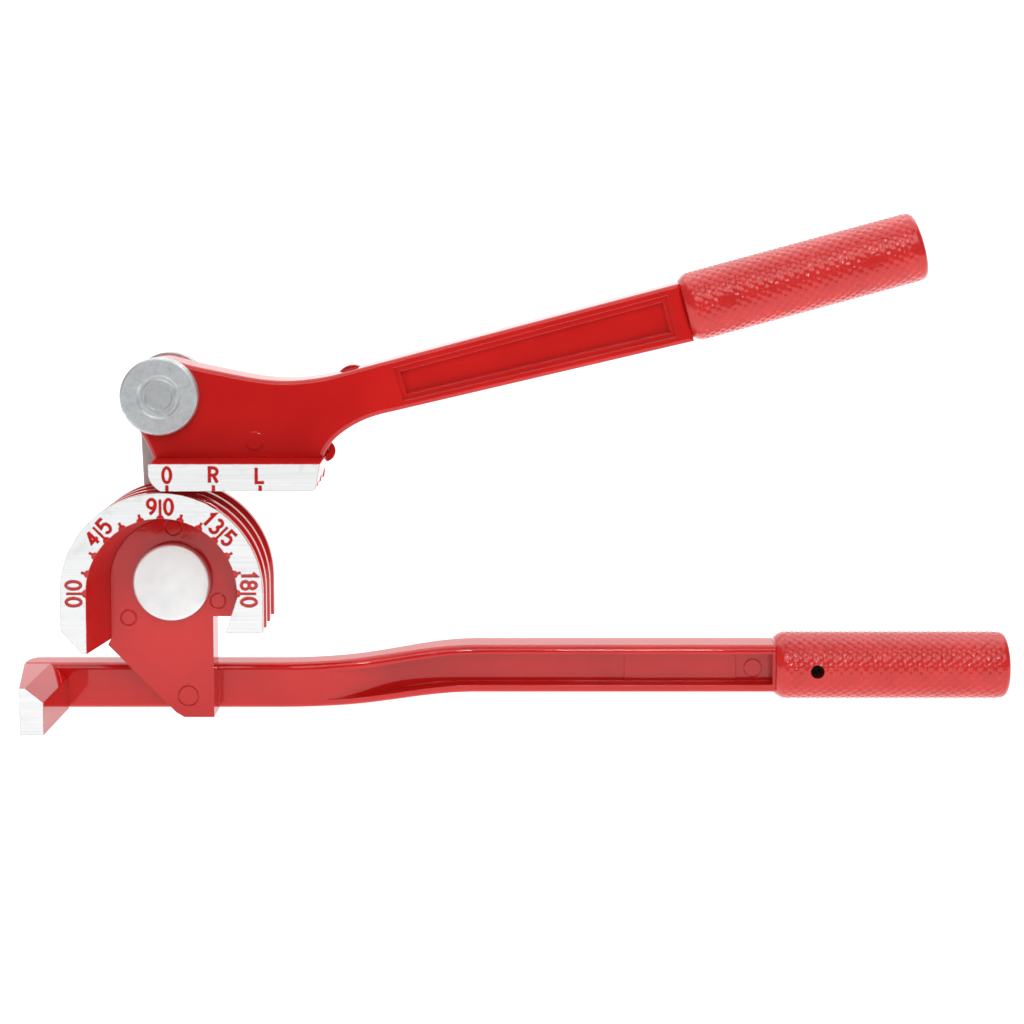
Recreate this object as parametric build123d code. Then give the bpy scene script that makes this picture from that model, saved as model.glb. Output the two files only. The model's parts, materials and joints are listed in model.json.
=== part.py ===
from build123d import *
import os
from math import asin, cos, degrees, radians, sin

# Hand tube bender for three tube sizes, in millimetres.
#
# The tool is drawn about its bend axis: X runs along the lower handle, Y runs back from the
# machined front face of the former and Z is up. The finished pieces are then moved so that
# the origin is under the middle of the tool, on the surface that it stands on.

# ---------------------------------------------------------------- driving dimensions
TUBES = (6.35, 7.94, 9.53)
FLANGE = 2.9
FORMER_R = 35.5
DIE_WIDTH = sum(TUBES) + FLANGE * (len(TUBES) + 1)

POCKET_R = 26.4
POCKET_FLOOR_R = 22.8
WEB_FRONT = 25.0
WEB_BACK = 37.0
WEB_FLANGE_R = 30.0
FLANGE_LOW_H = -13.5
NOTCH = (14.3, -13.2)

STAND_H = -50.4
GRIP_R = 12.55
GRIP_TANG_R = 8.8
GRIP_END_WALL = 4.0
GRIP_NECK_R = 10.4
GRIP_SHOULDER = 3.8
GRIP_TIP = 2.4
LOWER_GRIP_START = 221.6
LOWER_GRIP_END = 309.1
LOWER_GRIP_H = STAND_H + GRIP_R
LOWER_GRIP_Y = 54.5
HANG_HOLE_R = 2.6
HANG_HOLE_X = 236.6

HEAD_TOP_H = -33.6
FOOT_TOP_H = -36.0
ARM_TOP_H = -29.0
ARM_BOTTOM_H = -46.9
HEAD_ARM_FRONT = 37.5
HEAD_ARM_BACK = 50.6
EJECTOR_MARKS = (((-16.4, -13.6), 2.5), ((16.2, -7.4), 2.5), ((0.3, 19.4), 2.5), ((5.0, -42.4), 3.4))
ARM_FRONT = 46.5
ARM_BACK = 62.9
BEND_START = 58.0
BEND_END = 110.0
ARM_END = LOWER_GRIP_START
RAIL = 3.1
CHANNEL_DEPTH = 6.4
CHANNEL_START = 44.0
CHANNEL_LEAD = 4.0
CHANNEL_ENTRY = 0.3
CHANNEL_SETTLE = 12.0
BACK_ENTRY = 1.5
CHANNEL_END = 220.4
PANEL = (165.1, 207.2)
PANEL_T = 0.4
BOSS = (213.6, -38.7)
BOSS_R = 3.3
BOSS_T = 0.5
HEEL_ROUND = 8.0

HOOK_TIP_LEFT = -50.4
HOOK_ROOT_LEFT = -57.6
HOOK_TIP_RIGHT = -42.0
HOOK_ROOT_RIGHT = -41.4

PIN_R = 6.35
RUNNING_GAP = 0.05
PIN_HEAD_R = 13.9
PIN_HEAD_T = 4.2
PEEN_R = 8.4
PEEN_T = 2.6
SIDE_GAP = 0.1
WAVE_T = 0.6
WASHER_R = 10.6
SPACER_T = 0.9
BACK_WASHER_T = 1.2
SHOE_PIN = (-2.6, 67.8)
LINK_FRONT = WEB_BACK + SIDE_GAP + SPACER_T
LINK_T = 5.0
LINK_END_R = 14.0
LINK_WAIST = 22.4

HEAD_EDGE = 0.9
PEEN_EDGE = 1.9
DISH_R = (7.2, 8.4)
DISH_T = 0.9
RIM_R = (6.4, 5.9)
RIM_T = 0.4
RIM_SINK = 0.3
CUP_R = (4.6, 5.4)
CUP_T = 1.2

UPPER_FRONT = 19.0
UPPER_BACK = 37.0
EYE_R = 13.4
EYE_FROM = 70
EYE_TO = 200
TOP_SLOPE = 14.9
LOW_SLOPE = 13.2
SHOE_FACE_H = 36.1
SHOE_GROOVE_H = 35.8
SHOE_GROOVE_GAP = 0.1
SHOE_TOP_H = 45.7
SHOE_LEFT = -4.1
SHOE_RIGHT = 55.9
ARM_SLOPE = 15.2
UPPER_GRIP_ROOT = (184.7, 98.35)
UPPER_GRIP_LENGTH = 87.0
UPPER_GRIP_Y = 26.5
PANEL_CORNERS = ((84.0, 65.9), (181.6, 88.9), (177.8, 103.5), (80.5, 77.7))
PANEL_STEPS = ((0.0, 0.9), (1.9, 3.0))
SADDLE_BOSS = ((65.2, 71.6), 6.2, 31.0)
SHOE_BOSS = ((54.2, 45.9), 4.0, DIE_WIDTH)
FRONT_BOSS = ((30.8, 51.6), 3.2)
BOSS_SINK = 0.5

MARK_DEPTH = 0.4
MARK_WIDTH = 1.05
DIGIT_H = 5.2
DIGIT_W = 2.7
DIGIT_PITCH = 3.5
DIGIT_BASE_R = 28.1
MINOR_TICK_R = 28.9
MAJOR_TICK_R = 33.2
SHOE_MARKS = (("0", 2.5), ("R", 18.7), ("L", 35.0))
SHOE_MARK_H = 39.2
SHOE_TICK_TOP_H = 38.2

EDGE_ROUND = 2.4
RIM_ROUND = 1.5

CUT = 1.0
LEFT_END = HOOK_ROOT_LEFT
RIGHT_END = LOWER_GRIP_END
BACK_END = LOWER_GRIP_Y + GRIP_R
TO_ORIGIN = Pos(-(LEFT_END + RIGHT_END) / 2, -BACK_END / 2, -STAND_H)


# ---------------------------------------------------------------- helpers
def slab(profile, front, back):
    """Solid between two depths of a profile drawn in the plane of the tool."""
    return Pos(0, front, 0) * extrude(Plane.XZ * profile, amount=front - back)


def polygon(*points):
    """Face of a closed outline of straight runs."""
    return make_face(Polyline(*points, close=True))


def rod(centre, radius, front, back):
    """Round bar along Y about a point in the plane of the tool."""
    return slab(Pos(*centre) * Circle(radius), front, back)


def ring(centre, inner, outer, front, back):
    """Flat round washer about a point in the plane of the tool."""
    return rod(centre, outer, front, back) - rod(centre, inner, front, back)


def edges_at(part, depth):
    """Edges of a slab that lie in one plane of constant depth."""
    return part.edges().filter_by_position(Axis.Y, depth - 0.01, depth + 0.01)


def groove_depths():
    """Depth of the middle of each tube groove, from the front face back."""
    middles = []
    front = FLANGE
    for tube in TUBES:
        middles.append(front + tube / 2)
        front += tube + FLANGE
    return middles


def write(name, part):
    """One named piece, moved to the row's origin, in its own file."""
    placed = TO_ORIGIN * part
    placed.label = name
    export_step(placed, f"parts/{name}.step")


# ---------------------------------------------------------------- engraved marks
def stroke(*points):
    """Straight pen strokes through the points."""
    return trace(Polyline(*points), MARK_WIDTH)


def bow(centre, radius_x, radius_z, start, end):
    """Pen stroke along part of an ellipse, in degrees anticlockwise from the right."""
    curve = EllipticalCenterArc(centre, radius_x, radius_z, start, arc_size=end - start)
    return trace(curve, MARK_WIDTH)


def loop(centre, radius_x, radius_z):
    """Closed oval pen stroke."""
    half = MARK_WIDTH / 2
    outer = Ellipse(radius_x + half, radius_z + half)
    inner = Ellipse(radius_x - half, radius_z - half)
    return Pos(*centre) * (outer - inner)


def glyph(mark):
    """Upright mark standing on its base line, centred across its width."""
    w = DIGIT_W / 2
    h = DIGIT_H
    if mark == "0":
        return loop((0, h / 2), w, h / 2)
    if mark == "1":
        return stroke((-w * 0.5, h * 0.78), (w * 0.25, h), (w * 0.25, 0))
    if mark == "3":
        upper = bow((0, h * 0.76), w * 0.85, h * 0.24, 270, 510)
        lower = bow((0, h * 0.26), w, h * 0.26, 210, 450)
        return upper + lower
    if mark == "4":
        stem = stroke((w * 0.35, 0), (w * 0.35, h * 0.98))
        return stem + stroke((w * 0.3, h * 0.95), (-w, h * 0.3), (w * 1.1, h * 0.3))
    if mark == "5":
        flag = stroke((w, h), (-w * 0.8, h), (-w * 0.9, h * 0.56), (0, h * 0.62))
        return flag + bow((0, h * 0.31), w, h * 0.31, 215, 450)
    if mark == "8":
        return loop((0, h * 0.26), w, h * 0.26) + loop((0, h * 0.76), w * 0.85, h * 0.24)
    if mark == "9":
        return loop((0, h * 0.7), w, h * 0.3) + bow((-w * 1.0, h * 0.7), w * 2, h * 0.7, 285, 360)
    if mark == "R":
        stem = stroke((-w, 0), (-w, h), (0, h))
        leg = stroke((-w, h * 0.5), (0, h * 0.5), (w, 0))
        return stem + leg + bow((0, h * 0.75), w, h * 0.25, 270, 450)
    return stroke((-w, h), (-w, 0), (w, 0))


def on_dial(reading, sketch):
    """Turn a sketch drawn at the top of the dial to its reading in degrees."""
    return Rot(0, 0, 90 - reading) * sketch


def dial_marks():
    """Ticks every 15 degrees, with each numeral split by its long tick."""
    inner = POCKET_R - 1
    marks = []
    for reading in range(0, 181, 15):
        major = reading % 45 == 0
        outer = MAJOR_TICK_R if major else MINOR_TICK_R
        tick = Pos(0, (inner + outer) / 2) * Rectangle(MARK_WIDTH * 0.8, outer - inner)
        foot = Pos(0, POCKET_R) * Circle(MARK_WIDTH * 1.3)
        marks.append(on_dial(reading, tick + foot))
    for reading in (0, 45, 90, 135, 180):
        text = str(reading) if reading else "00"
        split = len(text) - 1
        for place, digit in enumerate(text):
            steps = place - split + 1 if place >= split else place - split
            sketch = Pos(steps * DIGIT_PITCH * (0.85 if abs(steps) == 1 else 0.95), 0) * glyph(digit)
            marks.append(on_dial(reading, Pos(0, DIGIT_BASE_R) * sketch))
    return marks


def engraving(sketches):
    """Cutting tools for shallow marks in the machined front face."""
    return [slab(sketch, -CUT, MARK_DEPTH) for sketch in sketches]


def ejector_mark(centre, radius, face):
    """Shallow moulded ring left on a cast face, as a cutting tool."""
    return ring(centre, radius, radius + 0.5, face - 0.1, face + 0.35)


# ---------------------------------------------------------------- lower handle
def former():
    """Half-round bending die with three tube grooves and a drafted pocket."""
    leg_left = [(-FORMER_R, 0), (-FORMER_R, -13.1), (-28.0, -21.5), (-20.0, -21.5)]
    leg_right = [(20.0, -14.0), (FORMER_R, -14.0), (FORMER_R, 0)]
    outline = make_face(
        Polyline(*leg_left, *leg_right) + ThreePointArc((FORMER_R, 0), (0, FORMER_R), (-FORMER_R, 0))
    )
    body = slab(outline, 0, DIE_WIDTH)
    for depth, tube in zip(groove_depths(), TUBES):
        bend = Pos(0, depth, 0) * Torus(FORMER_R, tube / 2, rotation=(90, 0, 0))
        body -= bend & Pos(0, depth, 50) * Box(200, 20, 100)
        for side in (-1, 1):
            body -= Pos(side * FORMER_R, depth, -25) * Cylinder(tube / 2, 50)
    body -= pocket()
    body -= slab(arch(POCKET_FLOOR_R), WEB_FRONT - CUT / 2, DIE_WIDTH + CUT)
    body += slab(polygon((22.4, -14.0), (26.5, -14.0), (26.5, -1.6)), 0, WEB_FRONT)
    for tool in engraving(dial_marks()):
        body -= tool
    return body


def arch(radius):
    """Half circle on straight sides that run down past the former."""
    top = Circle(radius) & Pos(0, radius) * Rectangle(2 * radius, 2 * radius)
    return top + Pos(0, -20) * Rectangle(2 * radius, 40)


def pocket():
    """Arched recess in the former, narrower at its floor, open below."""
    stations = ((POCKET_R + 0.2, -1.0), (POCKET_FLOOR_R, WEB_FRONT))
    return loft([Pos(0, depth, 0) * (Plane.XZ * arch(radius)) for radius, depth in stations])


def web():
    """Plate inside and behind the former that carries the centre pin and joins the arm."""
    lower = polygon(
        (-POCKET_FLOOR_R, 0),
        (-POCKET_FLOOR_R, -21.5),
        (-24.0, -23.7),
        (0.5, -48.6),
        (3.5, STAND_H),
        (NOTCH[0], STAND_H),
        NOTCH,
        (POCKET_FLOOR_R, NOTCH[1]),
        (POCKET_FLOOR_R, 0),
    )
    dome = Circle(POCKET_FLOOR_R) - Pos(NOTCH[0] + 20, NOTCH[1] - 20) * Rectangle(40, 40)
    foot = lower & Pos(0, STAND_H) * Rectangle(80, 2 * (FOOT_TOP_H - STAND_H))
    plate = slab(lower + dome, WEB_FRONT, WEB_BACK)
    below = Pos(0, FLANGE_LOW_H - WEB_FLANGE_R) * Rectangle(3 * WEB_FLANGE_R, 2 * WEB_FLANGE_R)
    flange = rod((0, 0), WEB_FLANGE_R, DIE_WIDTH, WEB_BACK) - slab(below, DIE_WIDTH - CUT, WEB_BACK + CUT)
    return plate + flange + slab(foot, WEB_BACK - CUT, HEAD_ARM_FRONT + CUT)


def bend_curve(start, end, before, after, x_from, x_to):
    """Straight, smooth S-bend, straight: a line whose second coordinate shifts once."""
    first = Line((x_from, before), (start, before))
    bend = Spline((start, before), (end, after), tangents=((1, 0), (1, 0)))
    last = Line((end, after), (x_to, after))
    return first + bend + last


def band(near, far, x_from, x_to):
    """Face between two bend curves that share their end stations."""
    ends = []
    for x in (x_from, x_to):
        at = [c.vertices().filter_by_position(Axis.X, x - 0.01, x + 0.01)[0] for c in (near, far)]
        ends.append(Line(tuple(at[0]), tuple(at[1])))
    return make_face(near + far + Curve() + ends)


def plan_slab(profile, bottom, top):
    """Solid between two heights of a profile drawn in plan, X against depth."""
    return Pos(0, 0, bottom) * extrude(profile, amount=top - bottom)


def arm_bar():
    """Cast bar from the hook root to the grip, with its S-bend back and up."""
    left, right = HOOK_ROOT_LEFT, ARM_END
    top = bend_curve(BEND_START - 20, BEND_END, HEAD_TOP_H, ARM_TOP_H, left, right)
    bottom = bend_curve(BEND_START - 20, BEND_END, STAND_H, ARM_BOTTOM_H, left, right)
    front = bend_curve(BEND_START, BEND_END, HEAD_ARM_FRONT, ARM_FRONT, left, right)
    back = bend_curve(BEND_START, BEND_END, HEAD_ARM_BACK, ARM_BACK, left, right)
    side = slab(band(bottom, top, left, right), 0, BACK_END + CUT)
    bar = side & plan_slab(band(front, back, left, right), STAND_H - CUT, 0)
    bar = fillet(bar.edges().filter_by(lambda edge: edge.length > 30), EDGE_ROUND)
    corner = Pos(left + HEEL_ROUND / 2, HEAD_ARM_BACK - HEEL_ROUND / 2) * Rectangle(HEEL_ROUND, HEEL_ROUND)
    corner -= Pos(left + HEEL_ROUND, HEAD_ARM_BACK - HEEL_ROUND) * Circle(HEEL_ROUND)
    return bar - plan_slab(corner, STAND_H - CUT, 0)


def arm_channels():
    """Lightening channels between the rails, one in the front and one in the back."""
    left, right = CHANNEL_START, CHANNEL_END
    lead = left + CHANNEL_LEAD
    top = bend_curve(left + 2, BEND_END, HEAD_TOP_H - RAIL, ARM_TOP_H - RAIL, left, right)
    bottom = bend_curve(left + 2, BEND_END, STAND_H + RAIL, ARM_BOTTOM_H + RAIL, left, right)
    strip = slab(band(bottom, top, left, right), 0, BACK_END + CUT)

    settled = BEND_END - CHANNEL_SETTLE
    floor = bend_curve(lead, settled, HEAD_ARM_FRONT - CHANNEL_ENTRY, ARM_FRONT + CHANNEL_DEPTH, left, right)
    outside = bend_curve(lead, settled, WEB_FRONT, WEB_FRONT, left, right)
    front = strip & plan_slab(band(outside, floor, left, right), STAND_H - CUT, 0)

    floor = bend_curve(lead, BEND_END, HEAD_ARM_BACK + BACK_ENTRY, ARM_BACK - CHANNEL_DEPTH, left, right)
    outside = bend_curve(lead, BEND_END, BACK_END + CUT, BACK_END + CUT, left, right)
    back = strip & plan_slab(band(floor, outside, left, right), STAND_H - CUT, 0)
    return front, back


def hook():
    """Finger that holds the straight end of the tube against the first leg of the former."""
    tip = polygon(
        (HOOK_TIP_LEFT, STAND_H),
        (HOOK_TIP_RIGHT, STAND_H),
        (HOOK_TIP_RIGHT, -38.8),
        (-48.4, HEAD_TOP_H),
        (HOOK_TIP_LEFT, HEAD_TOP_H),
    )
    root = polygon(
        (HOOK_ROOT_LEFT, STAND_H),
        (HOOK_ROOT_RIGHT, STAND_H),
        (HOOK_ROOT_RIGHT, -38.8),
        (-48.0, HEAD_TOP_H),
        (HOOK_ROOT_LEFT, HEAD_TOP_H),
    )
    return loft([Plane.XZ * tip, Pos(0, HEAD_ARM_FRONT, 0) * (Plane.XZ * root)])


def along_x(x_from, x_to, radius, depth, height):
    """Round bar along X."""
    length = x_to - x_from
    return Pos(x_from + length / 2, depth, height) * Cylinder(radius, length, rotation=(0, 90, 0))


def channel_details():
    """Raised label panel without a label, and a moulded boss, on the floor of the front channel."""
    floor = ARM_FRONT + CHANNEL_DEPTH
    middle = (ARM_TOP_H + ARM_BOTTOM_H) / 2
    width = PANEL[1] - PANEL[0]
    height = ARM_TOP_H - ARM_BOTTOM_H - 2 * RAIL + 1
    plate = slab(Pos(PANEL[0] + width / 2, middle) * Rectangle(width, height), floor - PANEL_T, floor + CUT)
    return plate + rod(BOSS, BOSS_R, floor - BOSS_T, floor + CUT)


def lower_handle_casting():
    """Arm, web and grip tang of the lower casting."""
    part = web() + arm_bar()
    part += along_x(ARM_END, LOWER_GRIP_END - GRIP_END_WALL, GRIP_TANG_R, LOWER_GRIP_Y, LOWER_GRIP_H)
    for cut in arm_channels():
        part -= cut
    part += channel_details()
    part -= rod((0, 0), PIN_R + RUNNING_GAP, WEB_FRONT - CUT, WEB_BACK + CUT)
    part -= rod((HANG_HOLE_X, LOWER_GRIP_H), HANG_HOLE_R, ARM_FRONT - GRIP_R, BACK_END + CUT)
    for centre, radius in EJECTOR_MARKS:
        part -= ejector_mark(centre, radius, WEB_FRONT)
    return part


def sleeve(length):
    """Round grip sleeve along X from its open end, with a soft shoulder, round tip and blind bore."""
    bore_end = length - GRIP_END_WALL
    tip_top = (length - GRIP_TIP, GRIP_R)
    tip_low = (length, GRIP_R - GRIP_TIP)
    tip_mid = (length - GRIP_TIP * (1 - cos(radians(45))), GRIP_R - GRIP_TIP * (1 - cos(radians(45))))
    half = make_face(
        Polyline((bore_end, 0), (bore_end, GRIP_TANG_R), (0, GRIP_TANG_R), (0, GRIP_NECK_R))
        + Spline((0, GRIP_NECK_R), (GRIP_SHOULDER, GRIP_R), tangents=((1, 0.9), (1, 0)))
        + Line((GRIP_SHOULDER, GRIP_R), tip_top)
        + ThreePointArc(tip_top, tip_mid, tip_low)
        + Polyline(tip_low, (length, 0), (bore_end, 0))
    )
    return revolve(half, Axis.X)


def lower_grip():
    length = LOWER_GRIP_END - LOWER_GRIP_START
    part = Pos(LOWER_GRIP_START, LOWER_GRIP_Y, LOWER_GRIP_H) * sleeve(length)
    return part - rod((HANG_HOLE_X, LOWER_GRIP_H), HANG_HOLE_R, ARM_FRONT - GRIP_R, BACK_END + CUT)


# ---------------------------------------------------------------- link and its pins
def link_plate():
    """Flat steel bar with two round eyes and a narrower waist."""
    x, h = SHOE_PIN
    length = (x * x + h * h) ** 0.5
    lean = degrees(asin(-x / length))
    waist = Pos(0, length / 2) * Rectangle(LINK_WAIST, length)
    outline = Rot(0, 0, lean) * (waist + Circle(LINK_END_R) + Pos(0, length) * Circle(LINK_END_R))
    part = slab(outline, LINK_FRONT, LINK_FRONT + LINK_T)
    for centre in ((0, 0), SHOE_PIN):
        part -= rod(centre, PIN_R, LINK_FRONT - CUT, LINK_FRONT + LINK_T + CUT)
    return part


def pin(centre, casting_front):
    """Rivet with a broad front head, peened over its washer behind the link."""
    head_back = casting_front - SIDE_GAP - WAVE_T
    head = rod(centre, PIN_HEAD_R, head_back - PIN_HEAD_T, head_back)
    head = fillet(edges_at(head, head_back - PIN_HEAD_T), HEAD_EDGE)
    peen_front = LINK_FRONT + LINK_T + BACK_WASHER_T
    peen = rod(centre, PEEN_R, peen_front, peen_front + PEEN_T)
    peen = fillet(edges_at(peen, peen_front + PEEN_T), PEEN_EDGE)
    return head + rod(centre, PIN_R, head_back, peen_front) + peen


def shoe_pin():
    """The upper rivet has a dished face with a raised rim round its middle."""
    part = pin(SHOE_PIN, UPPER_FRONT)
    face = UPPER_FRONT - SIDE_GAP - WAVE_T - PIN_HEAD_T
    dish = Pos(SHOE_PIN[0], face, SHOE_PIN[1]) * Cone(*DISH_R, DISH_T, rotation=(90, 0, 0))
    rim = Pos(SHOE_PIN[0], face + RIM_SINK, SHOE_PIN[1]) * Cone(*RIM_R, RIM_T, rotation=(90, 0, 0))
    cup = Pos(SHOE_PIN[0], face, SHOE_PIN[1]) * Cone(*CUP_R, CUP_T, rotation=(90, 0, 0))
    return part - dish + rim - cup


def washers(centre, casting_front):
    """Spring washer, spacer and back washer of one pivot, by name."""
    wave_front = casting_front - SIDE_GAP - WAVE_T
    back_front = LINK_FRONT + LINK_T
    return {
        "spring_washer": ring(centre, PIN_R, WASHER_R, wave_front, wave_front + WAVE_T),
        "spacer_washer": ring(centre, PIN_R, WASHER_R, LINK_FRONT - SPACER_T, LINK_FRONT),
        "back_washer": ring(centre, PIN_R, WASHER_R, back_front, back_front + BACK_WASHER_T),
    }


# ---------------------------------------------------------------- upper handle
def reach_grip(start, slope):
    """End of an arm edge where it meets the root plane of the upper grip, and its direction."""
    way = (cos(radians(slope)), sin(radians(slope)))
    axis = (cos(radians(ARM_SLOPE)), sin(radians(ARM_SLOPE)))
    gap = [root - from_ for root, from_ in zip(UPPER_GRIP_ROOT, start)]
    run = (gap[0] * axis[0] + gap[1] * axis[1]) / (way[0] * axis[0] + way[1] * axis[1])
    return (start[0] + run * way[0], start[1] + run * way[1]), way


def upper_body():
    """Cast bar from the eye round the pin, down to the shoe and out to the grip."""
    pin_x, pin_h = SHOE_PIN
    saddle = (60.9, 75.5)
    armpit = (76.7, 61.2)
    top_end, top_way = reach_grip(saddle, TOP_SLOPE)
    low_end, low_way = reach_grip(armpit, LOW_SLOPE)
    eye = CenterArc(SHOE_PIN, EYE_R, EYE_FROM, EYE_TO - EYE_FROM)
    crown = eye @ 0
    cheek = eye @ 1
    back_edge = Spline(crown, (18.5, 76.3), (40.8, 73.0), saddle, tangents=(-(eye % 0), Vector(*top_way)))
    throat = Spline(armpit, (62.8, 55.0), (54.4, 43.0), tangents=(-Vector(*low_way), Vector(-0.2, -1)))
    nose = Spline((-5.0, 43.0), (-9.6, 53.6), cheek, tangents=(Vector(-0.3, 1), -(eye % 1)))
    outline = make_face(
        eye
        + back_edge
        + Polyline(saddle, top_end, low_end, armpit)
        + throat
        + Line((54.4, 43.0), (-5.0, 43.0))
        + nose
    )
    parting = (UPPER_FRONT + UPPER_BACK) / 2
    half = slab(outline, UPPER_FRONT, parting)
    half = fillet(edges_at(half, UPPER_FRONT), RIM_ROUND)
    return half + mirror(half, about=Plane.XZ.offset(-parting))


def arm_panel(inset, depth):
    """Stepped recess that follows the upper arm, as a cutting tool from the front."""
    outline = offset(polygon(*PANEL_CORNERS), amount=-inset, kind=Kind.INTERSECTION)
    return slab(outline, UPPER_FRONT - CUT, UPPER_FRONT + depth)


def shoe_outline():
    """Front view of the follower block, with its rounded toe at the left."""
    return make_face(
        Polyline((0.2, SHOE_FACE_H), (53.0, SHOE_FACE_H), (54.2, 36.9), (SHOE_RIGHT, SHOE_TOP_H))
        + Line((SHOE_RIGHT, SHOE_TOP_H), (SHOE_LEFT, SHOE_TOP_H))
        + Line((SHOE_LEFT, SHOE_TOP_H), (SHOE_LEFT, 42.2))
        + Spline((SHOE_LEFT, 42.2), (0.2, SHOE_FACE_H), tangents=((0.1, -1), (1, -0.6)))
    )


def shoe():
    """Follower block whose three grooves close round the tubes."""
    body = slab(shoe_outline(), 0, DIE_WIDTH)
    for depth, tube in zip(groove_depths(), TUBES):
        body -= along_x(-30, 80, tube / 2 + SHOE_GROOVE_GAP, depth, SHOE_GROOVE_H)
    for tool in engraving(shoe_marks()):
        body -= tool
    return body


def shoe_marks():
    """Zero, right-hand and left-hand marks with a short tick below each."""
    marks = []
    for text, x in SHOE_MARKS:
        marks.append(Pos(x, SHOE_MARK_H) * glyph(text))
        tick_h = SHOE_TICK_TOP_H - SHOE_FACE_H
        marks.append(Pos(x, SHOE_FACE_H + tick_h / 2) * Rectangle(MARK_WIDTH, tick_h))
    return marks


def on_upper_axis(part):
    """Lay a piece drawn along X on the sloping axis of the upper grip."""
    x, h = UPPER_GRIP_ROOT
    return Pos(x, UPPER_GRIP_Y, h) * Rot(0, -ARM_SLOPE, 0) * part


def upper_handle_casting():
    part = upper_body() - slab(shoe_outline(), UPPER_FRONT - CUT, DIE_WIDTH)
    for centre, radius, front in (SADDLE_BOSS, SHOE_BOSS):
        part += rod(centre, radius, front, UPPER_BACK - BOSS_SINK)
    tang = UPPER_GRIP_LENGTH - GRIP_END_WALL
    part += on_upper_axis(Pos(tang / 2, 0, 0) * Cylinder(GRIP_TANG_R, tang, rotation=(0, 90, 0)))
    for inset, depth in PANEL_STEPS:
        part -= arm_panel(inset, depth)
    part -= rod(SHOE_PIN, PIN_R + RUNNING_GAP, 0, UPPER_BACK + CUT)
    return part + rod(*FRONT_BOSS, UPPER_FRONT - BOSS_SINK, UPPER_FRONT + CUT)


def upper_grip():
    return on_upper_axis(sleeve(UPPER_GRIP_LENGTH))


# ---------------------------------------------------------------- pieces
os.makedirs("parts", exist_ok=True)
write("lower_handle_casting", lower_handle_casting())
write("bending_former", former())
write("tube_hook", hook())
write("lower_grip", lower_grip())
write("link_plate", link_plate())
write("centre_pin", pin((0, 0), WEB_FRONT))
write("shoe_pin", shoe_pin())
for pivot, spot, casting_face in (("centre", (0, 0), WEB_FRONT), ("shoe", SHOE_PIN, UPPER_FRONT)):
    for piece, solid in washers(spot, casting_face).items():
        write(f"{pivot}_{piece}", solid)
write("upper_handle_casting", upper_handle_casting())
write("follower_shoe", shoe())
write("upper_grip", upper_grip())
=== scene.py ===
import json
import math

import bmesh
import bpy
from mathutils import Matrix, Vector


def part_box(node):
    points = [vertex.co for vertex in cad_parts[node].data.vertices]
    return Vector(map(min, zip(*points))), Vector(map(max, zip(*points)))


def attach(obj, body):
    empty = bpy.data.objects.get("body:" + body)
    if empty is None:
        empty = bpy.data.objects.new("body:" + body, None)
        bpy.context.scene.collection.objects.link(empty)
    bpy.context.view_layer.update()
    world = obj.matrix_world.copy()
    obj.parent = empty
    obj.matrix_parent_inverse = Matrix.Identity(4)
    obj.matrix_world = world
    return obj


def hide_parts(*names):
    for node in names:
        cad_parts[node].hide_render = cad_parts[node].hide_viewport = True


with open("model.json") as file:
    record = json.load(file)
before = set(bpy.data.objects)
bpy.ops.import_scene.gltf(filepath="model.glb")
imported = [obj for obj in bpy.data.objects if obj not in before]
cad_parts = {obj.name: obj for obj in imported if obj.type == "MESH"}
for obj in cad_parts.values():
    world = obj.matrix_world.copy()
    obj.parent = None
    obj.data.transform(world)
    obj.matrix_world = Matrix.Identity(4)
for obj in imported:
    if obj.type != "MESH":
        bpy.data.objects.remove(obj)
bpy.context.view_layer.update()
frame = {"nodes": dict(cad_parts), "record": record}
NODES = frame["nodes"]

MM = 0.001

# ---------------------------------------------------------------- driving values
# Planes that part one finish from another.
FRONT_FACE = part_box("bending_former")[0].y
LINK_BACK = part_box("link_plate")[1].y
FACE_TOLERANCE = 0.02 * MM

# Scales of the grips: pitch along, number around, depth, and how far the crowns lean to one side.
GRIP_CELL = 3.7 * MM
GRIP_ROWS = 22
GRIP_RELIEF = 0.50 * MM
GRIP_LEAN = 0.3
CROWN_FALL = 0.5
RIDGE_FALL = 0.25

# Where the scales stop, and the height of the plain skin there.
SMOOTH_HEIGHT = 0.6
GRIP_FADE = 1.5 * MM
SHOULDER_PLAIN = 0.7
SPOT_PLACES = (15.0 * MM, 68.0 * MM)
SPOT_RADIUS = 2.3 * MM
SPOT_FADE = 0.5 * MM

# Plain form of the grips, and the fineness of their meshes.
GRIP_NECK_R = 10.4 * MM
GRIP_SHOULDER = 3.8 * MM
GRIP_TIP = 2.4 * MM
GRIP_AROUND = 330
GRIP_STEP = 0.24 * MM
UPPER_SLOPE = math.radians(15.2)
UPPER_LENGTH = 87.0 * MM
HOLE_RADIUS = 2.55 * MM
HOLE_SIDES = 48

# Rays that each rounded edge is worked out with.
EDGE_SAMPLES = 6

# Camera: its place, degrees below level, shift in frames and lens in millimetres.
CAMERA_PLACE = Vector((-3.0, -726.5, 187.3)) * MM
CAMERA_TILT = 4.48
CAMERA_SHIFT = -0.15
CAMERA_LENS = 70.49

# Studio sweep, in metres, and its glow: (distance from the tool, strength) near it and far off.
FLOOR_HALF = 2.4
FLOOR_FRONT = -0.42
APRON_FRONT = -2.4
WALL_PLACE = 1.1
WALL_TOP = 2.6
SWEEP_BEND = 0.5
SWEEP_STEPS = 16
GLOW_NEAR = (0.45, 0.98)
GLOW_FAR = (1.0, 0.88)

# Strength of the surroundings as light, and as the camera sees them.
WORLD_LIGHT = 0.14
WORLD_SEEN = 1.1

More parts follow.
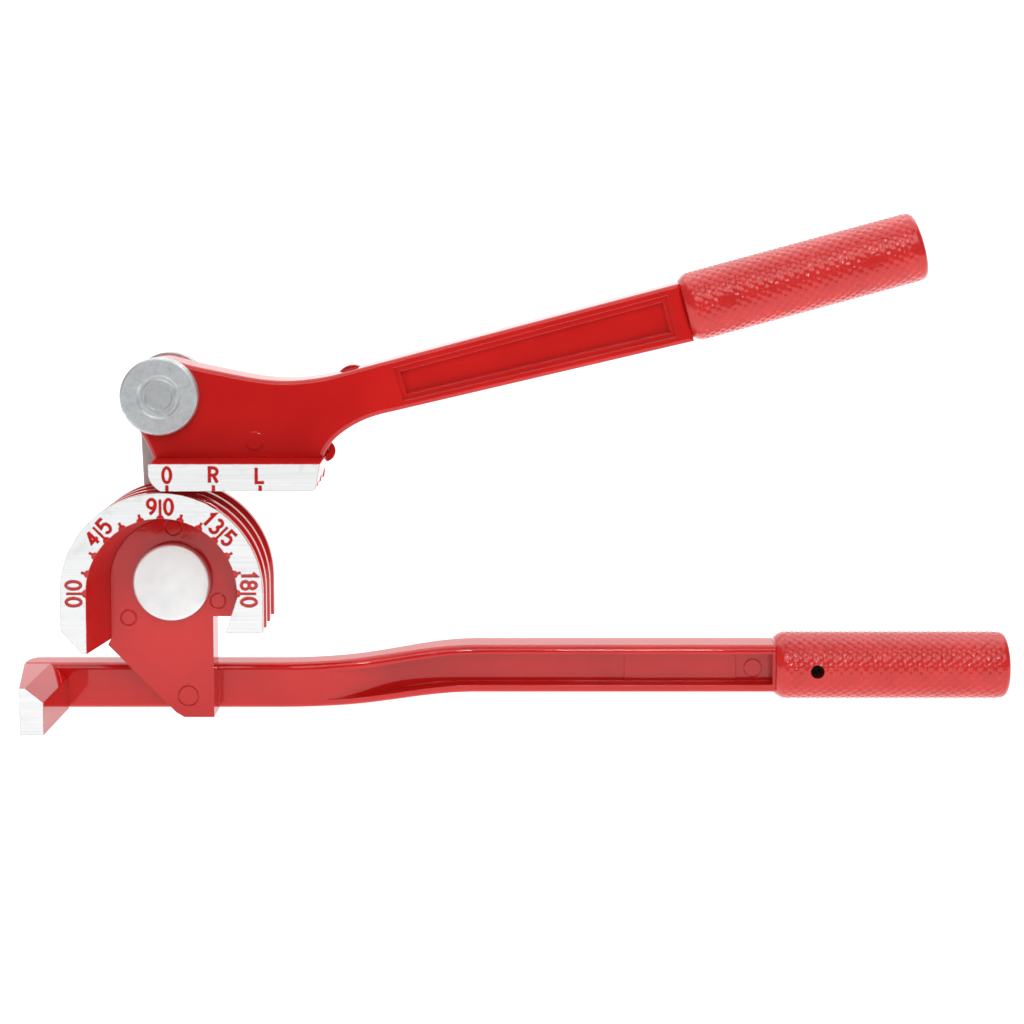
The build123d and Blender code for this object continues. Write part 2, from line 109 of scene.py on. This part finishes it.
# Studio lights: place and size in metres, power in watts. They all aim at the same point.
LIGHT_AIM = (0.0, 0.0, 0.09)
LIGHTS = {
    "top_light": ((0.0, 0.1, 0.95), (1.5, 1.0), 8.0),
    "front_light": ((0.1, -1.3, 1.1), (1.6, 0.8), 9.3),
    "glint_light": ((0.15, -1.5, 0.75), (0.20, 0.12), 2.5),
}


# ---------------------------------------------------------------- shader helpers
class Shader:
    """One material with its nodes, built line by line."""

    def __init__(self, name):
        self.material = bpy.data.materials.new(name)
        self.material.use_nodes = True
        self.tree = self.material.node_tree
        self.bsdf = self.tree.nodes["Principled BSDF"]
        place = self.tree.nodes.new("ShaderNodeTexCoord")
        self.place = place.outputs["Object"]

    def set(self, **values):
        for key, value in values.items():
            self.bsdf.inputs[key.replace("_", " ")].default_value = value

    def link(self, source, target):
        self.tree.links.new(source, target)

    def stretched(self, scale):
        """Object coordinates scaled by a different amount along each axis."""
        node = self.tree.nodes.new("ShaderNodeMapping")
        node.inputs["Scale"].default_value = scale
        self.link(self.place, node.inputs["Vector"])
        return node.outputs["Vector"]

    def noise(self, scale, detail=3.0, roughness=0.5, vector=None):
        node = self.tree.nodes.new("ShaderNodeTexNoise")
        node.inputs["Scale"].default_value = scale
        node.inputs["Detail"].default_value = detail
        node.inputs["Roughness"].default_value = roughness
        self.link(vector or self.place, node.inputs["Vector"])
        return node.outputs["Fac"]

    def cells(self, scale):
        """Distance from the nearest of many scattered points."""
        node = self.tree.nodes.new("ShaderNodeTexVoronoi")
        node.inputs["Scale"].default_value = scale
        self.link(self.place, node.inputs["Vector"])
        return node.outputs["Distance"]

    def spread(self, value, low, high, to_low, to_high):
        """A value mapped from one range to another, and held at the ends."""
        node = self.tree.nodes.new("ShaderNodeMapRange")
        node.inputs["From Min"].default_value = low
        node.inputs["From Max"].default_value = high
        node.inputs["To Min"].default_value = to_low
        node.inputs["To Max"].default_value = to_high
        self.link(value, node.inputs["Value"])
        return node.outputs["Result"]

    def blend(self, factor, first, second):
        """Colour mix. Each side is a colour or another node's output."""
        node = self.tree.nodes.new("ShaderNodeMix")
        node.data_type = "RGBA"
        self.link(factor, node.inputs["Factor"])
        for socket, side in ((node.inputs["A"], first), (node.inputs["B"], second)):
            if isinstance(side, tuple):
                socket.default_value = (*side, 1.0)
            else:
                self.link(side, socket)
        return node.outputs["Result"]

    def maths(self, operation, first, second):
        """Arithmetic on two values, each a number or another node's output."""
        node = self.tree.nodes.new("ShaderNodeMath")
        node.operation = operation
        for socket, side in zip(node.inputs, (first, second)):
            if isinstance(side, (int, float)):
                socket.default_value = side
            else:
                self.link(side, socket)
        return node.outputs["Value"]

    def from_axis(self, centre):
        """Distance from an axis that runs along Y through a point of the object."""
        flat = self.tree.nodes.new("ShaderNodeVectorMath")
        flat.operation = "MULTIPLY"
        self.link(self.place, flat.inputs[0])
        flat.inputs[1].default_value = (1.0, 0.0, 1.0)
        away = self.tree.nodes.new("ShaderNodeVectorMath")
        away.operation = "DISTANCE"
        self.link(flat.outputs["Vector"], away.inputs[0])
        away.inputs[1].default_value = (centre.x, 0.0, centre.z)
        return away.outputs["Value"]

    def edge_mask(self, radius, low, high):
        """Zero on flats and one on corners, from how far a rounded normal leans."""
        geometry = self.tree.nodes.new("ShaderNodeNewGeometry")
        lean = self.tree.nodes.new("ShaderNodeVectorMath")
        lean.operation = "DOT_PRODUCT"
        self.link(self.soft_edges(radius), lean.inputs[0])
        self.link(geometry.outputs["True Normal"], lean.inputs[1])
        return self.spread(lean.outputs["Value"], 1.0 - low, 1.0 - high, 0.0, 1.0)

    def bump(self, height, strength, distance, normal=None):
        node = self.tree.nodes.new("ShaderNodeBump")
        node.inputs["Strength"].default_value = strength
        node.inputs["Distance"].default_value = distance
        self.link(height, node.inputs["Height"])
        if normal:
            self.link(normal, node.inputs["Normal"])
        return node.outputs["Normal"]

    def soft_edges(self, radius):
        """Normal that rounds every sharp edge."""
        node = self.tree.nodes.new("ShaderNodeBevel")
        node.samples = EDGE_SAMPLES
        node.inputs["Radius"].default_value = radius
        return node.outputs["Normal"]

    def colour(self, value):
        self.link(value, self.bsdf.inputs["Base Color"])

    def roughness(self, value):
        self.link(value, self.bsdf.inputs["Roughness"])

    def normal(self, value):
        self.link(value, self.bsdf.inputs["Normal"])
        self.link(value, self.bsdf.inputs["Coat Normal"])


# ---------------------------------------------------------------- materials
def red_enamel():
    """Thick glossy enamel over a die casting: faint orange peel, tiny pit holes shown as painted
    shade (rare dark red spots), and dust nibs.
    """
    s = Shader("red_enamel")
    s.set(Roughness=0.3, Specular_IOR_Level=0.0)
    s.set(Coat_Weight=1.0, Coat_Roughness=0.04, Coat_IOR=1.5)
    depth = s.spread(s.noise(45.0, 4.0), 0.3, 0.7, 0.0, 1.0)
    red = s.blend(depth, (0.53, 0.008, 0.007), (0.60, 0.012, 0.010))
    thin = s.edge_mask(0.5 * MM, 0.05, 0.35)
    red = s.blend(s.maths("MULTIPLY", thin, 0.35), red, (0.66, 0.035, 0.028))
    # Painted shade: each tiny pit hole has no relief and is only a rare dark red spot.
    pit_shade = s.spread(s.cells(260.0), 0.018, 0.032, 1.0, 0.0)
    rare = s.spread(s.noise(90.0, 1.0), 0.60, 0.66, 0.0, 1.0)
    s.colour(s.blend(s.maths("MULTIPLY", pit_shade, rare), red, (0.10, 0.004, 0.004)))
    wavy = s.bump(s.noise(70.0, 2.0), 0.10, 0.4 * MM, s.soft_edges(0.45 * MM))
    peel = s.bump(s.noise(900.0, 2.0), 0.06, 0.08 * MM, wavy)
    specks = s.spread(s.cells(330.0), 0.03, 0.07, 1.0, 0.0)
    patches = s.spread(s.noise(140.0, 1.0), 0.56, 0.6, 0.0, 1.0)
    s.normal(s.bump(s.maths("MULTIPLY", specks, patches), 0.5, 0.12 * MM, peel))
    return s.material


def red_grip():
    """Softer red skin of the dimpled grips, with a wet-looking coat and painted shade in the
    creases between the scales.
    """
    s = Shader("red_grip")
    s.set(Roughness=0.4, Specular_IOR_Level=0.1)
    s.set(Coat_Weight=1.0, Coat_Roughness=0.03, Coat_IOR=1.45)
    s.set(Subsurface_Weight=0.06, Subsurface_Scale=1.2 * MM, Subsurface_Radius=(1.0, 0.25, 0.2))
    depth = s.spread(s.noise(120.0, 4.0), 0.3, 0.7, 0.0, 1.0)
    red = s.blend(depth, (0.54, 0.016, 0.015), (0.64, 0.025, 0.022))
    relief = s.tree.nodes.new("ShaderNodeAttribute")
    relief.attribute_name = "relief"
    # Painted shade: the red darkens where the scale relief is low, in the creases between the
    # scales.
    crease_shade = s.spread(relief.outputs["Fac"], 0.15, 0.60, 0.75, 0.0)
    s.colour(s.blend(crease_shade, red, (0.36, 0.006, 0.006)))
    s.roughness(s.spread(s.noise(300.0, 3.0), 0.3, 0.7, 0.28, 0.46))
    lumps = s.bump(s.noise(650.0, 3.0, 0.6), 0.60, 0.22 * MM)
    s.normal(s.bump(s.noise(1900.0, 3.0), 0.12, 0.06 * MM, lumps))
    return s.material


def hole_painted_shade():
    """Dull dark red wall of the hanging hole, painted as the shade inside the hole."""
    s = Shader("hole_painted_shade")
    s.set(Roughness=0.85, Specular_IOR_Level=0.1)
    s.colour(s.blend(s.noise(900.0, 3.0), (0.10, 0.005, 0.005), (0.17, 0.008, 0.007)))
    s.normal(s.bump(s.noise(1500.0, 3.0), 0.3, 0.08 * MM))
    return s.material


def milled_face():
    """Bare metal where a cutter took the enamel off, with cutter lines and a red rim."""
    s = Shader("milled_face")
    s.set(Metallic=0.25, Specular_IOR_Level=0.5)
    lines = s.noise(1.0, 4.0, 0.6, s.stretched((25.0, 25.0, 2600.0)))
    broad = s.noise(1.0, 2.0, 0.5, s.stretched((12.0, 12.0, 320.0)))
    streaks = s.spread(lines, 0.35, 0.75, 0.0, 1.0)
    tone = s.blend(streaks, (0.91, 0.915, 0.92), (0.77, 0.78, 0.785))
    stain = s.spread(s.noise(160.0, 5.0, 0.65), 0.56, 0.72, 0.0, 0.32)
    tone = s.blend(stain, tone, (0.50, 0.51, 0.52))
    creep = s.noise(420.0, 4.0, 0.7)
    edge = s.edge_mask(0.45 * MM, 0.01, 0.10)
    rim = s.maths("MULTIPLY", edge, s.spread(creep, 0.36, 0.56, 0.25, 1.0))
    s.colour(s.blend(rim, tone, (0.36, 0.012, 0.010)))
    s.roughness(s.spread(broad, 0.3, 0.7, 0.34, 0.52))
    s.normal(s.bump(lines, 0.22, 0.05 * MM, s.soft_edges(0.25 * MM)))
    return s.material


def bright_zinc():
    """Bright satin zinc with faint passivation stains, on the centre rivet."""
    s = Shader("bright_zinc")
    s.set(Metallic=0.55)
    cloud = s.spread(s.noise(110.0, 5.0, 0.6), 0.35, 0.70, 0.0, 1.0)
    tint = s.spread(s.noise(60.0, 3.0), 0.40, 0.70, 0.0, 0.5)
    base = s.blend(cloud, (0.89, 0.925, 0.925), (0.79, 0.83, 0.83))
    s.colour(s.blend(tint, base, (0.82, 0.86, 0.82)))
    s.roughness(s.spread(cloud, 0.0, 1.0, 0.30, 0.46))
    s.normal(s.bump(s.noise(1300.0, 4.0), 0.10, 0.05 * MM, s.soft_edges(0.3 * MM)))
    return s.material


def galvanised(centre):
    """Dull mottled zinc of the upper rivet, darker inside its raised middle."""
    s = Shader("galvanised")
    s.set(Metallic=0.7)
    spangle = s.spread(s.cells(520.0), 0.1, 0.8, 0.0, 1.0)
    cloud = s.spread(s.noise(330.0, 6.0, 0.75), 0.35, 0.65, 0.0, 1.0)
    base = s.blend(cloud, (0.44, 0.47, 0.485), (0.71, 0.745, 0.76))
    base = s.blend(s.maths("MULTIPLY", spangle, 0.35), base, (0.72, 0.76, 0.76))
    middle = s.spread(s.from_axis(centre), 5.8 * MM, 6.6 * MM, 0.25, 0.0)
    s.colour(s.blend(middle, base, (0.34, 0.34, 0.35)))
    s.roughness(s.spread(cloud, 0.0, 1.0, 0.50, 0.36))
    s.normal(s.bump(s.noise(650.0, 5.0, 0.7), 0.5, 0.12 * MM, s.soft_edges(0.3 * MM)))
    return s.material


def link_steel():
    """Zinc-plated flat bar, rolled along its length."""
    s = Shader("link_steel")
    s.set(Metallic=0.55)
    grain = s.noise(1.0, 4.0, 0.6, s.stretched((1500.0, 60.0, 40.0)))
    base = s.blend(s.spread(grain, 0.3, 0.7, 0.0, 1.0), (0.60, 0.61, 0.60), (0.72, 0.72, 0.70))
    stain = s.spread(s.noise(90.0, 4.0), 0.45, 0.75, 0.0, 0.5)
    s.colour(s.blend(stain, base, (0.42, 0.42, 0.40)))
    s.roughness(s.spread(s.noise(180.0, 3.0), 0.3, 0.7, 0.30, 0.48))
    s.normal(s.bump(grain, 0.12, 0.05 * MM, s.soft_edges(0.35 * MM)))
    return s.material


def washer_zinc():
    """Plain plated washers."""
    s = Shader("washer_zinc")
    s.set(Metallic=0.9)
    cloud = s.spread(s.noise(300.0, 4.0), 0.35, 0.65, 0.0, 1.0)
    s.colour(s.blend(cloud, (0.52, 0.53, 0.50), (0.66, 0.66, 0.62)))
    s.roughness(s.spread(cloud, 0.0, 1.0, 0.30, 0.44))
    s.normal(s.bump(s.noise(1200.0, 3.0), 0.12, 0.05 * MM, s.soft_edges(0.15 * MM)))
    return s.material


def studio_white():
    """Matt white sweep under and behind the tool that glows like a light table: painted light,
    strongest near the tool, where it washes out the tool's shadow.
    """
    s = Shader("studio_white")
    s.set(Roughness=0.7)
    s.bsdf.inputs["Emission Color"].default_value = (1.0, 1.0, 1.0, 1.0)
    away = s.tree.nodes.new("ShaderNodeVectorMath")
    away.operation = "LENGTH"
    s.link(s.place, away.inputs[0])
    near, near_glow = GLOW_NEAR
    far, far_glow = GLOW_FAR
    # Painted light: the glow is stronger near the tool than far off, so the tool's shadow on the
    # sweep is washed out.
    glow = s.spread(away.outputs["Value"], near, far, near_glow, far_glow)
    s.link(glow, s.bsdf.inputs["Emission Strength"])
    tone = s.spread(s.noise(6.0, 2.0), 0.3, 0.7, 0.0, 1.0)
    s.colour(s.blend(tone, (0.34, 0.34, 0.34), (0.36, 0.36, 0.36)))
    return s.material


def dress(node, *materials):
    """Give a CAD node its materials, the first of them on every face, and return its mesh."""
    mesh = NODES[node].data
    mesh.materials.clear()
    for material in materials:
        mesh.materials.append(material)
    for face in mesh.polygons:
        face.material_index = 0
    return mesh


def repaint(mesh, chosen):
    """Give the second material to each face whose corners all lie at a chosen depth."""
    for face in mesh.polygons:
        if all(chosen(mesh.vertices[v].co.y) for v in face.vertices):
            face.material_index = 1


def in_front_face(y):
    """True in the machined front plane."""
    return abs(y - FRONT_FACE) < FACE_TOLERANCE


def behind_link(y):
    """True past the back of the link, where the rivets are peened."""
    return y > LINK_BACK


# ---------------------------------------------------------------- grips
def smooth(value):
    """Zero to one with flat ends."""
    value = min(max(value, 0.0), 1.0)
    return value * value * (3.0 - 2.0 * value)


def scale_height(along, turn):
    """Height of the staggered scales, from zero in the creases to one on the crowns."""
    row = turn * GRIP_ROWS / math.pi
    column = along / GRIP_CELL * 2.0
    height = 0.0
    for stagger in (0.0, 1.0):
        across = math.remainder(row - stagger, 2.0)
        forward = math.remainder(column - stagger, 2.0)
        lean = forward + GRIP_LEAN * (1.0 - forward * forward)
        fall = CROWN_FALL * (across * across + lean * lean) + RIDGE_FALL * abs(forward)
        height = max(height, 1.0 - fall)
    return height


def grip_texture(along, turn, length, radius, spots):
    """Height of the skin from zero to one: scales, and plain at the ends and on the spots."""
    textured = smooth((along - SHOULDER_PLAIN * GRIP_SHOULDER) / GRIP_FADE)
    textured *= smooth((length - GRIP_TIP - along) / GRIP_FADE)
    for spot_along, spot_turn in spots:
        off_turn = math.remainder(turn - spot_turn, 2.0 * math.pi) * radius
        away = math.hypot(along - spot_along, off_turn)
        textured *= smooth((away - SPOT_RADIUS) / SPOT_FADE)
    return SMOOTH_HEIGHT + (scale_height(along, turn) - SMOOTH_HEIGHT) * textured


def grip_profile(along, length, radius):
    """Radius of the plain grip along its length, with a soft shoulder and a round tip."""
    if along < GRIP_SHOULDER:
        swell = math.sin(math.pi / 2 * along / GRIP_SHOULDER)
        return GRIP_NECK_R + (radius - GRIP_NECK_R) * swell
    if along > length - GRIP_TIP:
        reach = 1.0 - (length - along) / GRIP_TIP
        return radius - GRIP_TIP * (1.0 - math.sqrt(max(0.0, 1.0 - reach * reach)))
    return radius


def grip(name, root, axis_turn, length, radius, spots, material):
    """Scaled sleeve drawn along X from the middle of its open end, as a closed mesh."""
    mesh = bmesh.new()
    relief = mesh.verts.layers.float.new("relief")
    steps = round(length / GRIP_STEP)
    rings = []
    for step in range(steps + 1):
        along = length * step / steps
        base = grip_profile(along, length, radius)
        ring = []
        for k in range(GRIP_AROUND):
            turn = 2.0 * math.pi * k / GRIP_AROUND
            height = grip_texture(along, turn, length, radius, spots)
            r = base - GRIP_RELIEF * (1.0 - height) * smooth(along / GRIP_SHOULDER)
            vertex = mesh.verts.new((along, -r * math.cos(turn), r * math.sin(turn)))
            vertex[relief] = height
            ring.append(vertex)
        rings.append(ring)
    for near, far in zip(rings, rings[1:]):
        for k in range(GRIP_AROUND):
            after = (k + 1) % GRIP_AROUND
            mesh.faces.new((near[k], near[after], far[after], far[k]))
    mesh.faces.new(rings[0][::-1])
    mesh.faces.new(rings[-1])
    bmesh.ops.recalc_face_normals(mesh, faces=mesh.faces)
    data = bpy.data.meshes.new(name)
    mesh.to_mesh(data)
    mesh.free()
    for face in data.polygons:
        face.use_smooth = True
    piece = bpy.data.objects.new(name, data)
    bpy.context.scene.collection.objects.link(piece)
    data.transform(Matrix.Translation(root) @ Matrix.Rotation(axis_turn, 4, "Y"))
    data.materials.append(material)
    return piece


def drill(piece, centre, radius, length, wall):
    """Cut a round hole along Y through a piece, and give its wall a material."""
    bpy.ops.mesh.primitive_cylinder_add(
        vertices=HOLE_SIDES,
        radius=radius,
        depth=length,
        location=centre,
        rotation=(math.pi / 2, 0, 0),
    )
    tool = bpy.context.object
    tool.data.materials.append(wall)
    cut = piece.modifiers.new("hole", "BOOLEAN")
    cut.operation = "DIFFERENCE"
    cut.material_mode = "TRANSFER"
    cut.object = tool
    bpy.context.view_layer.objects.active = piece
    bpy.ops.object.modifier_apply(modifier=cut.name)
    bpy.data.objects.remove(tool)


def rivet_middle(node):
    """Point on the axis of a rivet."""
    low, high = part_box(node)
    return (low + high) / 2


# ---------------------------------------------------------------- build
enamel = red_enamel()
bare = milled_face()
skin = red_grip()
for casting in ("lower_handle_casting", "upper_handle_casting"):
    dress(casting, enamel)
for machined in ("bending_former", "tube_hook", "follower_shoe"):
    repaint(dress(machined, enamel, bare), in_front_face)
dress("link_plate", link_steel())
washer = washer_zinc()
repaint(dress("centre_pin", bright_zinc(), washer), behind_link)
dress("shoe_pin", galvanised(rivet_middle("shoe_pin")))
for pivot in ("centre", "shoe"):
    for kind in ("spring", "spacer", "back"):
        dress(f"{pivot}_{kind}_washer", washer)

low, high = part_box("lower_grip")
grip_radius = (high.z - low.z) / 2
lower_root = Vector((low.x, (low.y + high.y) / 2, (low.z + high.z) / 2))
lower_length = high.x - low.x
lower_grip = grip("lower_grip_sleeve", lower_root, 0.0, lower_length, grip_radius, [], skin)
hang_hole = next(m for m in frame["record"]["mounts"] if m["name"] == "hang_hole")
hole_x, _, hole_z = hang_hole["pos_m"]
hole_middle = Vector((hole_x, lower_root.y, hole_z))
# The hole's wall gets painted shade in place of the grip's red.
drill(lower_grip, hole_middle, HOLE_RADIUS, 4 * grip_radius, hole_painted_shade())
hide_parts("lower_grip")
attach(lower_grip, "lower_handle")

# The upper grip leans, so its open end is worked back from the far top corner of its box.
low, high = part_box("upper_grip")
reach = UPPER_LENGTH - GRIP_TIP
rise = grip_radius - GRIP_TIP
upper_root = Vector((
    high.x - reach * math.cos(UPPER_SLOPE) - rise * math.sin(UPPER_SLOPE) - GRIP_TIP,
    (low.y + high.y) / 2,
    high.z - reach * math.sin(UPPER_SLOPE) - rise * math.cos(UPPER_SLOPE) - GRIP_TIP,
))
front_spots = [(place, 0.0) for place in SPOT_PLACES]
upper_grip = grip(
    "upper_grip_sleeve", upper_root, -UPPER_SLOPE, UPPER_LENGTH, grip_radius, front_spots, skin
)
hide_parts("upper_grip")
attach(upper_grip, "upper_handle")


# ---------------------------------------------------------------- studio
def ribbon(name, rail, material):
    """Wide strip that follows a rail of (y, z) points, as part of the studio."""
    mesh = bmesh.new()
    rows = [[mesh.verts.new((x, y, z)) for x in (-FLOOR_HALF, FLOOR_HALF)] for y, z in rail]
    for near, far in zip(rows, rows[1:]):
        mesh.faces.new((near[0], near[1], far[1], far[0]))
    data = bpy.data.meshes.new(name)
    mesh.to_mesh(data)
    mesh.free()
    for face in data.polygons:
        face.use_smooth = True
    strip = bpy.data.objects.new(name, data)
    bpy.context.scene.collection.objects.link(strip)
    data.materials.append(material)
    return strip


def sweep():
    """Floor that curves up into a back wall, with an apron in front that gloss doesn't mirror."""
    white = studio_white()
    rail = [(FLOOR_FRONT, 0.0)]
    for step in range(SWEEP_STEPS + 1):
        turn = math.pi / 2 * step / SWEEP_STEPS
        y = WALL_PLACE - SWEEP_BEND + SWEEP_BEND * math.sin(turn)
        z = SWEEP_BEND - SWEEP_BEND * math.cos(turn)
        rail.append((y, z))
    rail.append((WALL_PLACE, WALL_TOP))
    ribbon("studio_sweep", rail, white)
    apron = ribbon("studio_apron", [(APRON_FRONT, 0.0), (FLOOR_FRONT, 0.0)], white)
    apron.visible_glossy = False


def soft_light(name, place, size, power):
    """Rectangular studio light aimed at the tool."""
    data = bpy.data.lights.new(name, "AREA")
    data.shape = "RECTANGLE"
    data.size, data.size_y = size
    data.energy = power
    light = bpy.data.objects.new(name, data)
    light.location = place
    aim = Vector(LIGHT_AIM) - Vector(place)
    light.rotation_euler = aim.to_track_quat("-Z", "Y").to_euler()
    bpy.context.scene.collection.objects.link(light)


def studio():
    """Pale surroundings with a soft light overhead, one in front and a small one for glints."""
    scene = bpy.context.scene
    scene.view_settings.view_transform = "Standard"
    scene.world = bpy.data.worlds.new("studio")
    scene.world.use_nodes = True
    nodes = scene.world.node_tree.nodes
    links = scene.world.node_tree.links
    seen = nodes.new("ShaderNodeLightPath")
    strength = nodes.new("ShaderNodeMapRange")
    strength.inputs["To Min"].default_value = WORLD_LIGHT
    strength.inputs["To Max"].default_value = WORLD_SEEN
    links.new(seen.outputs["Is Camera Ray"], strength.inputs["Value"])
    nodes["Background"].inputs["Color"].default_value = (1.0, 1.0, 1.0, 1.0)
    links.new(strength.outputs["Result"], nodes["Background"].inputs["Strength"])
    for name, (place, size, power) in LIGHTS.items():
        soft_light(name, place, size, power)


def camera():
    """Camera at the height and tilt of the product view."""
    data = bpy.data.cameras.new("camera")
    data.lens = CAMERA_LENS
    data.shift_y = CAMERA_SHIFT
    view = bpy.data.objects.new("camera", data)
    view.location = CAMERA_PLACE
    view.rotation_euler = (math.radians(90 - CAMERA_TILT), 0, 0)
    bpy.context.scene.collection.objects.link(view)
    bpy.context.scene.camera = view


sweep()
studio()
camera()
